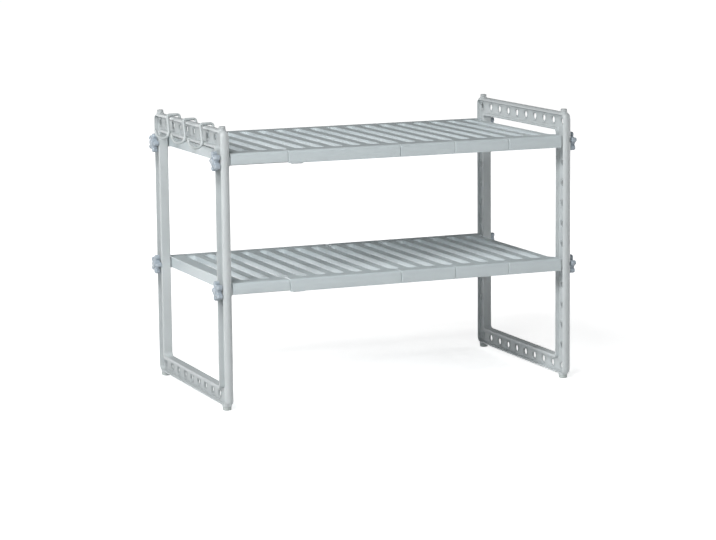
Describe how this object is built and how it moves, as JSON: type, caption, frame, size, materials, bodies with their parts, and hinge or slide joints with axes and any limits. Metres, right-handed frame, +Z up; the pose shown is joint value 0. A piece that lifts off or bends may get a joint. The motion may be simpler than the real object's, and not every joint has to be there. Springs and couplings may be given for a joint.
{
  "type": "under sink organizer",
  "caption": "Free-standing shelf rack for a sink cabinet: slotted panels on telescoping rails between two perforated side frames, held by star knobs, with hooks on one frame.",
  "frame": {"origin": "middle of the footprint on the floor, at rest length", "axes": "+X along the length from the hook side to the other frame, +Y to the rear, +Z up"},
  "size_m": [0.5714, 0.2974, 0.3965],
  "materials": {
    "frame_plastic": "fine satin moulding, pale cool grey",
    "panel_plastic": "glossy moulding, pale cool grey",
    "knob_plastic": "glossy pale blue grey",
    "peg_plastic": "satin, slightly warm grey",
    "foot_plastic": "satin grey",
    "plug_plastic": "satin grey",
    "collar_plastic": "satin grey",
    "hook_plastic": "satin, pale grey",
    "tube_steel": "pale grey coated steel",
    "screw_steel": "plated steel"
  },
  "bodies": {
    "left_side": {"left_side_frame": "frame_plastic", "left_stacking_pegs": "peg_plastic", "left_feet": "foot_plastic", "top_front_inner_tube": "tube_steel", "top_front_left_plug": "plug_plastic", "top_rear_inner_tube": "tube_steel", "top_rear_left_plug": "plug_plastic", "lower_front_inner_tube": "tube_steel", "lower_front_left_plug": "plug_plastic", "lower_rear_inner_tube": "tube_steel", "lower_rear_left_plug": "plug_plastic"},
    "right_side": {"right_side_frame": "frame_plastic", "right_stacking_pegs": "peg_plastic", "right_feet": "foot_plastic", "top_front_outer_tube": "tube_steel", "top_front_tube_collar": "collar_plastic", "top_front_right_plug": "plug_plastic", "top_rear_outer_tube": "tube_steel", "top_rear_tube_collar": "collar_plastic", "top_rear_right_plug": "plug_plastic", "lower_front_outer_tube": "tube_steel", "lower_front_tube_collar": "collar_plastic", "lower_front_right_plug": "plug_plastic", "lower_rear_outer_tube": "tube_steel", "lower_rear_tube_collar": "collar_plastic", "lower_rear_right_plug": "plug_plastic"},
    "top_front_left_knob": {"top_front_left_knob": "knob_plastic", "top_front_left_screw": "screw_steel"},
    "top_front_right_knob": {"top_front_right_knob": "knob_plastic", "top_front_right_screw": "screw_steel"},
    "top_rear_left_knob": {"top_rear_left_knob": "knob_plastic", "top_rear_left_screw": "screw_steel"},
    "top_rear_right_knob": {"top_rear_right_knob": "knob_plastic", "top_rear_right_screw": "screw_steel"},
    "lower_front_left_knob": {"lower_front_left_knob": "knob_plastic", "lower_front_left_screw": "screw_steel"},
    "lower_front_right_knob": {"lower_front_right_knob": "knob_plastic", "lower_front_right_screw": "screw_steel"},
    "lower_rear_left_knob": {"lower_rear_left_knob": "knob_plastic", "lower_rear_left_screw": "screw_steel"},
    "lower_rear_right_knob": {"lower_rear_right_knob": "knob_plastic", "lower_rear_right_screw": "screw_steel"},
    "top_panel_1": {"top_panel_1": "panel_plastic"},
    "top_panel_2": {"top_panel_2": "panel_plastic"},
    "top_panel_3": {"top_panel_3": "panel_plastic"},
    "top_panel_4": {"top_panel_4": "panel_plastic"},
    "top_panel_5": {"top_panel_5": "panel_plastic"},
    "lower_panel_1": {"lower_panel_1": "panel_plastic"},
    "lower_panel_2": {"lower_panel_2": "panel_plastic"},
    "lower_panel_3": {"lower_panel_3": "panel_plastic"},
    "lower_panel_4": {"lower_panel_4": "panel_plastic"},
    "lower_panel_5": {"lower_panel_5": "panel_plastic"},
    "hook_1": {"hook_1": "hook_plastic"},
    "hook_2": {"hook_2": "hook_plastic"},
    "hook_3": {"hook_3": "hook_plastic"}
  },
  "joints": [
    {"name": "length_adjust", "type": "slide", "parent": "left_side", "child": "right_side", "axis": [1, 0, 0], "range_m": [0, 0.2]},
    {"name": "top_front_left_knob_turn", "type": "hinge", "parent": "left_side", "child": "top_front_left_knob", "pos_m": [-0.25485, -0.135, 0.3485], "axis": [-1, 0, 0], "continuous": true},
    {"name": "top_front_right_knob_turn", "type": "hinge", "parent": "right_side", "child": "top_front_right_knob", "pos_m": [0.26915, -0.135, 0.3485], "axis": [1, 0, 0], "continuous": true},
    {"name": "top_rear_left_knob_turn", "type": "hinge", "parent": "left_side", "child": "top_rear_left_knob", "pos_m": [-0.25485, 0.135, 0.3485], "axis": [-1, 0, 0], "continuous": true},
    {"name": "top_rear_right_knob_turn", "type": "hinge", "parent": "right_side", "child": "top_rear_right_knob", "pos_m": [0.26915, 0.135, 0.3485], "axis": [1, 0, 0], "continuous": true},
    {"name": "lower_front_left_knob_turn", "type": "hinge", "parent": "left_side", "child": "lower_front_left_knob", "pos_m": [-0.25485, -0.135, 0.1685], "axis": [-1, 0, 0], "continuous": true},
    {"name": "lower_front_right_knob_turn", "type": "hinge", "parent": "right_side", "child": "lower_front_right_knob", "pos_m": [0.26915, -0.135, 0.1685], "axis": [1, 0, 0], "continuous": true},
    {"name": "lower_rear_left_knob_turn", "type": "hinge", "parent": "left_side", "child": "lower_rear_left_knob", "pos_m": [-0.25485, 0.135, 0.1685], "axis": [-1, 0, 0], "continuous": true},
    {"name": "lower_rear_right_knob_turn", "type": "hinge", "parent": "right_side", "child": "lower_rear_right_knob", "pos_m": [0.26915, 0.135, 0.1685], "axis": [1, 0, 0], "continuous": true},
    {"name": "top_panel_1_lift", "type": "slide", "parent": "left_side", "child": "top_panel_1", "axis": [0, 0, 1], "range_m": [0, 0.02]},
    {"name": "top_panel_2_lift", "type": "slide", "parent": "right_side", "child": "top_panel_2", "axis": [0, 0, 1], "range_m": [0, 0.02]},
    {"name": "top_panel_3_lift", "type": "slide", "parent": "right_side", "child": "top_panel_3", "axis": [0, 0, 1], "range_m": [0, 0.02]},
    {"name": "top_panel_4_lift", "type": "slide", "parent": "right_side", "child": "top_panel_4", "axis": [0, 0, 1], "range_m": [0, 0.02]},
    {"name": "top_panel_5_lift", "type": "slide", "parent": "right_side", "child": "top_panel_5", "axis": [0, 0, 1], "range_m": [0, 0.02]},
    {"name": "lower_panel_1_lift", "type": "slide", "parent": "left_side", "child": "lower_panel_1", "axis": [0, 0, 1], "range_m": [0, 0.02]},
    {"name": "lower_panel_2_lift", "type": "slide", "parent": "right_side", "child": "lower_panel_2", "axis": [0, 0, 1], "range_m": [0, 0.02]},
    {"name": "lower_panel_3_lift", "type": "slide", "parent": "right_side", "child": "lower_panel_3", "axis": [0, 0, 1], "range_m": [0, 0.02]},
    {"name": "lower_panel_4_lift", "type": "slide", "parent": "right_side", "child": "lower_panel_4", "axis": [0, 0, 1], "range_m": [0, 0.02]},
    {"name": "lower_panel_5_lift", "type": "slide", "parent": "right_side", "child": "lower_panel_5", "axis": [0, 0, 1], "range_m": [0, 0.02]},
    {"name": "hook_1_slide", "type": "slide", "parent": "left_side", "child": "hook_1", "axis": [0, 1, 0], "range_m": [-0.033, 0.042]},
    {"name": "hook_2_slide", "type": "slide", "parent": "left_side", "child": "hook_2", "axis": [0, 1, 0], "range_m": [-0.033, 0.033]},
    {"name": "hook_3_slide", "type": "slide", "parent": "left_side", "child": "hook_3", "axis": [0, 1, 0], "range_m": [-0.038, 0.033]}
  ]
}
